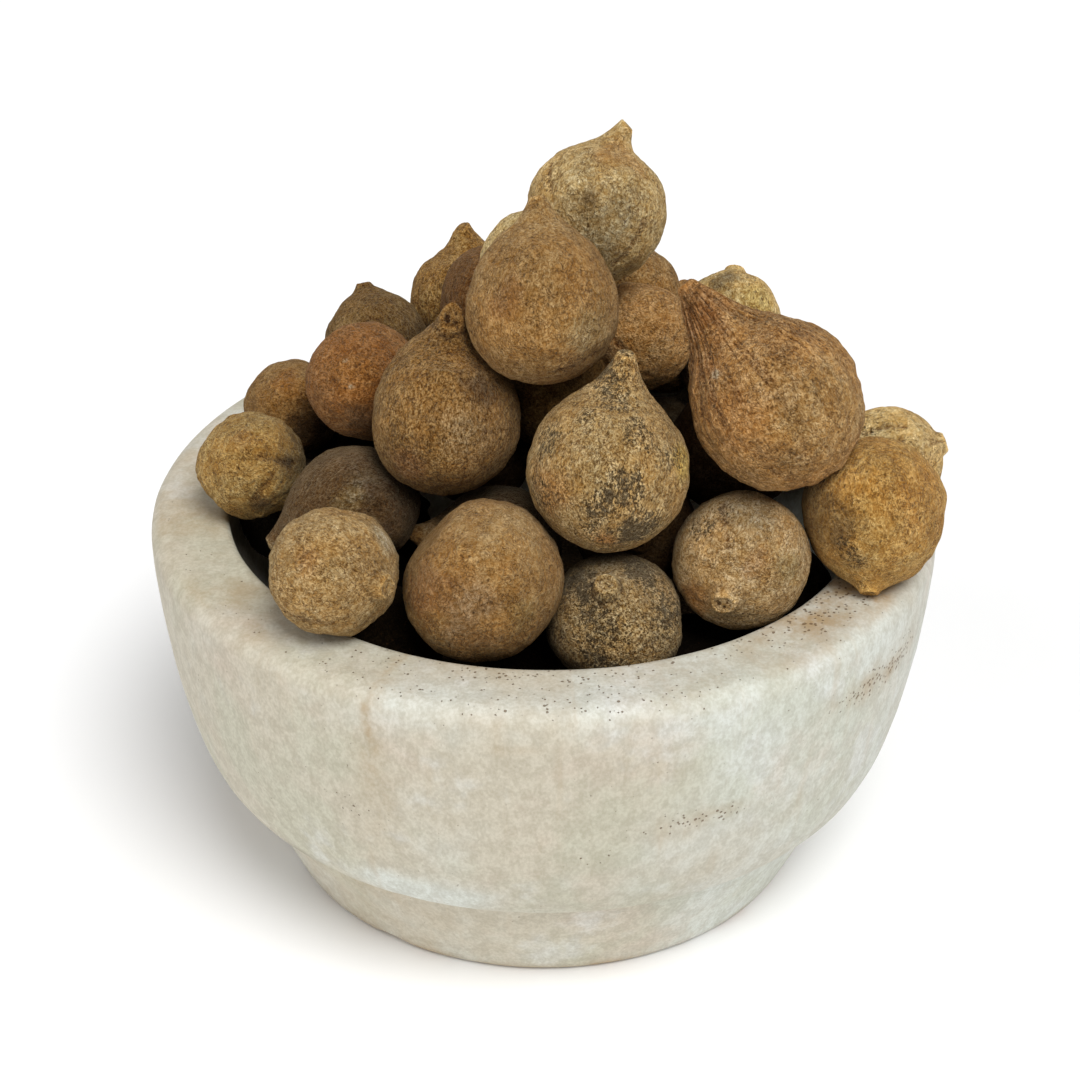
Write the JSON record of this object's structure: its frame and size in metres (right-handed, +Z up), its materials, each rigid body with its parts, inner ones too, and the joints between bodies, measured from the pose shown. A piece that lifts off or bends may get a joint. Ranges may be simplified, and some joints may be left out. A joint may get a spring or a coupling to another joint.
{
  "type": "bowl of dried belleric myrobalan",
  "caption": "Thick-walled round marble mortar bowl on a tapered foot, heaped above its rim with whole dried belleric myrobalan fruits.",
  "frame": {"origin": "middle of the foot's underside, on the surface that the bowl stands on", "axes": "+Z up out of the bowl, +X to the right and -Y towards the viewer of the heap's front"},
  "size_m": [0.15, 0.15, 0.1457],
  "materials": {
    "marble": "honed pale marble, cloudy grey and beige, with fine dark pits and brown stains",
    "dried_skin": "dull velvety dried fruit skin, tan to dark brown, speckled and mottled"
  },
  "bodies": {
    "root": {"bowl": "marble", "heap": "dried_skin"}
  },
  "joints": []
}
